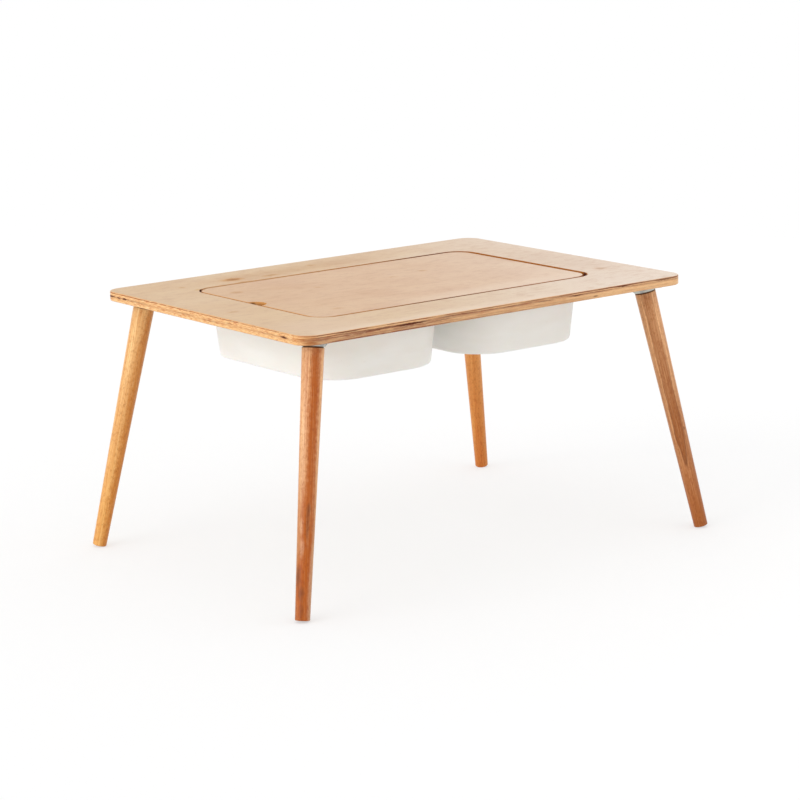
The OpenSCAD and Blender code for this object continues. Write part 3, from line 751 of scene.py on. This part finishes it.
def runner_wood():
    """Planed, unvarnished hardwood strip."""
    material, tree, shader, place = new_material("runner_wood")
    where = place["Object"]
    grain = use(tree, WOOD_GRAIN, Vector=where, Seed=11, Grain_Length=0.12, Grain_Width=0.0018,
                Waviness=0.006)
    color = blend(tree, ease(tree, grain["Figure"], 0.3, 0.7), srgb(226, 190, 148), srgb(205, 160, 114))
    color = blend(tree, ease(tree, grain["Streaks"], 0.5, 0.75, 0.0, 0.5), color, srgb(176, 128, 84))
    color = blend(tree, calc(tree, "MULTIPLY", grain["Flecks"], 0.5), color, srgb(128, 84, 50))
    wear = use(tree, SURFACE_USE, Vector=where, Patch_Size=0.06, Roughness=0.62, Spread=0.08)
    finish_with(tree, shader, color, wear["Roughness"], grain["Height"], 0.25 * MM, 0.6)
    return material


def tub_plastic():
    """Off-white moulded polypropylene: a fine spark-eroded grain, faint flow marks and scuffs."""
    material, tree, shader, place = new_material(
        "tub_plastic", Subsurface_Weight=0.08, Subsurface_Scale=0.004)
    where = place["Object"]
    flow = noise(tree, vector_calc(tree, "MULTIPLY", where, (5, 5, 16)), 1.0, 3.0, 0.6)
    color = blend(tree, ease(tree, flow, 0.35, 0.65), srgb(246, 245, 241), srgb(241, 239, 233))
    wear = use(tree, SURFACE_USE, Vector=where, Patch_Size=0.05, Roughness=0.38, Spread=0.07)
    color = blend(tree, calc(tree, "MULTIPLY", wear["Scuffs"], 0.25), color, srgb(205, 200, 190))
    erosion = noise(tree, where, 2600.0, 2.0)
    finish_with(tree, shader, color, wear["Roughness"], erosion, 0.05 * MM, 0.35)
    return material


def zinc_steel(name, roughness, brightness, grain_scale):
    """Bright zinc plate over pressed steel, with a fine pickled grain and dull patches.

    Painted shade and a painted brown reflection of the wood darken the front left plate's outer side.
    """
    material, tree, shader, place = new_material(name, Metallic=1.0)
    where = place["Object"]
    wear = use(tree, SURFACE_USE, Vector=where, Patch_Size=0.012, Roughness=roughness, Spread=0.12)
    pale = srgb(brightness, brightness, brightness - 10)
    dull = srgb(brightness - 40, brightness - 40, brightness - 40)
    color = blend(tree, ease(tree, wear["Patches"], 0.4, 0.7), pale, dull)
    # Painted shade and a painted reflection of the wood on the front left plate
    varnish = spot(tree, where, VARNISH_RUN_PLACE, VARNISH_RUN_REACH, 2)
    color = blend(tree, calc(tree, "MULTIPLY", varnish["Halo"], 0.9), color, VARNISH_BROWN)
    pickling = noise(tree, where, grain_scale, 3.0)
    finish_with(tree, shader, color, wear["Roughness"], pickling, 0.04 * MM, 0.4)
    return material


def dress(material, *nodes):
    """Gives CAD nodes their material."""
    for node in nodes:
        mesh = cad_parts[node].data
        mesh.materials.clear()
        mesh.materials.append(material)


def dress_all():
    """Gives every CAD node its material."""
    for node in SHEETS:
        dress(plywood(node), node)
    dress(tub_plastic(), "left_tub", "right_tub")
    dress(runner_wood(), "front_runner", "back_runner")
    plate = zinc_steel("plate_steel", 0.36, 190, 900.0)
    screw = zinc_steel("screw_steel", 0.3, 196, 1500.0)
    dress(screw, "front_runner_screws", "back_runner_screws")
    for corner in LEG_WOODS:
        dress(leg_wood(corner), corner + "_leg")
        dress(plate, corner + "_leg_plate")
        dress(screw, corner + "_leg_nut", corner + "_hanger_bolt", corner + "_plate_screws")


# ---- The room ----


def white_for_eyes(tree):
    """1 for rays that look at a surface: from the camera, or through gloss or glass."""
    path = add(tree, "LightPath").outputs
    seen = calc(tree, "MAXIMUM", path["Is Camera Ray"], path["Is Glossy Ray"])
    return calc(tree, "MAXIMUM", seen, path["Is Transmission Ray"])


def make_floor():
    """A plain pale floor that keeps the table's shadow; where nothing shades it, it looks white."""
    mesh = bpy.data.meshes.new("floor")
    corners = [(x * FLOOR_REACH, y * FLOOR_REACH, 0) for x, y in ((-1, -1), (1, -1), (1, 1), (-1, 1))]
    mesh.from_pydata(corners, [], [(0, 1, 2, 3)])
    floor = bpy.data.objects.new("floor", mesh)
    bpy.context.scene.collection.objects.link(floor)
    material, tree, shader, _ = new_material("floor_paper", Roughness=1.0, Specular_IOR_Level=0.0)
    seen = white_for_eyes(tree)
    tones = [(tone, tone, tone, 1) for tone in (FLOOR_ALBEDO, FLOOR_SHADE)]
    tree.links.new(blend(tree, seen, *tones), shader.inputs["Base Color"])
    lit = FLOOR_SHADE * (FILL_STRENGTH + KEY_STRENGTH * math.sin(KEY_HEIGHT) / math.pi)
    shader.inputs["Emission Color"].default_value = (1, 1, 1, 1)
    tree.links.new(calc(tree, "MULTIPLY", seen, 1.0 - lit), shader.inputs["Emission Strength"])
    mesh.materials.append(material)


def make_world():
    """A pale room: soft fill on the table, and white where it is looked at."""
    world = bpy.data.worlds.new("pale_room")
    world.use_nodes = True
    tree = world.node_tree
    tree.nodes.clear()
    fill = add(tree, "Background", {"Color": (1, 1, 1, 1), "Strength": FILL_STRENGTH})
    white = add(tree, "Background", {"Color": (1, 1, 1, 1), "Strength": 1.0})
    mixed = add(tree, "MixShader", {0: white_for_eyes(tree), 1: fill.outputs[0], 2: white.outputs[0]})
    output = add(tree, "OutputWorld")
    tree.links.new(mixed.outputs[0], output.inputs[0])
    bpy.context.scene.world = world


def add_lamp(name, data, place, aim):
    """Places a lamp that shines towards its aim."""
    lamp = bpy.data.objects.new(name, data)
    lamp.location = place
    lamp.rotation_euler = (aim - place).to_track_quat("-Z", "Z").to_euler()
    bpy.context.scene.collection.objects.link(lamp)
    return lamp


def make_lamps():
    """A low key lamp, and the white panels, which show only in reflections and as light."""
    key = bpy.data.lights.new("key", "SUN")
    key.energy = KEY_STRENGTH
    key.angle = KEY_SPREAD
    level = math.cos(KEY_HEIGHT)
    source = Vector((math.cos(KEY_SIDE) * level, math.sin(KEY_SIDE) * level, math.sin(KEY_HEIGHT)))
    add_lamp("key", key, source, Vector((0, 0, 0)))

    for name, panel in PANELS.items():
        light = bpy.data.lights.new(name, "AREA")
        light.shape = "RECTANGLE"
        light.size = panel["width"]
        light.size_y = panel["height"]
        light.energy = panel["brightness"] * math.pi * panel["width"] * panel["height"]
        lamp = add_lamp(name, light, panel["place"], PANEL_AIM)
        lamp.visible_camera = False


def make_camera():
    """A long lens at the viewpoint."""
    data = bpy.data.cameras.new("camera")
    data.sensor_width = 36
    data.lens = CAMERA_LENS
    data.clip_end = 200
    camera = bpy.data.objects.new("camera", data)
    turn = (Matrix.Rotation(CAMERA_YAW, 4, "Z") @ Matrix.Rotation(math.pi / 2 - CAMERA_PITCH, 4, "X")
            @ Matrix.Rotation(-CAMERA_ROLL, 4, "Z"))
    camera.matrix_world = Matrix.Translation(CAMERA_PLACE) @ turn
    bpy.context.scene.collection.objects.link(camera)
    bpy.context.scene.camera = camera


dress_all()
make_floor()
make_world()
make_lamps()
make_camera()
bpy.context.scene.view_settings.view_transform = "Standard"
